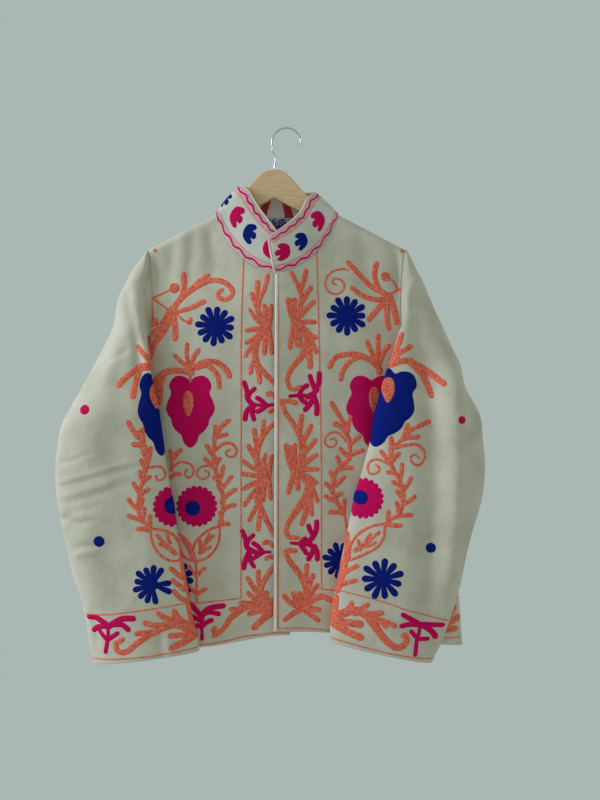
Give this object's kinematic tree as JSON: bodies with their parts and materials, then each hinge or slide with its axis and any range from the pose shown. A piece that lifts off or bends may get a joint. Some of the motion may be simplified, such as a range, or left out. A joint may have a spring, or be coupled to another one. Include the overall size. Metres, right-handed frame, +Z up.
{
  "type": "embroidered jacket on a hanger",
  "caption": "Cream cotton jacket with a stand collar, set-in sleeves and a lapped front, hung on a contoured wooden hanger with a wire hook.",
  "frame": {"origin": "the inside top of the hanger's hook, where a rail or a wall hook carries it", "axes": "+Z up, the front faces -Y, +X is the viewer's right, which is the wearer's left"},
  "size_m": [0.648, 0.1045, 0.815],
  "materials": {
    "jacket_cloth": "soft cotton with a short nap",
    "collar_cloth": "soft cotton",
    "striped_lining": "plain cotton",
    "printed_lining": "plain printed cotton",
    "piping_cloth": "plain cotton",
    "hanger_wood": "satin lacquer",
    "hook_wire": "plated",
    "hook_cap": "bright"
  },
  "bodies": {
    "root": {"front_right": "jacket_cloth", "front_left": "jacket_cloth", "back": "jacket_cloth", "sleeve_right": "jacket_cloth", "sleeve_left": "jacket_cloth", "collar": "collar_cloth", "collar_lining": "striped_lining", "back_lining": "printed_lining", "collar_piping": "piping_cloth", "hanger_wood": "hanger_wood", "hanger_hook": "hook_wire", "hook_tip": "hook_cap"}
  },
  "joints": []
}
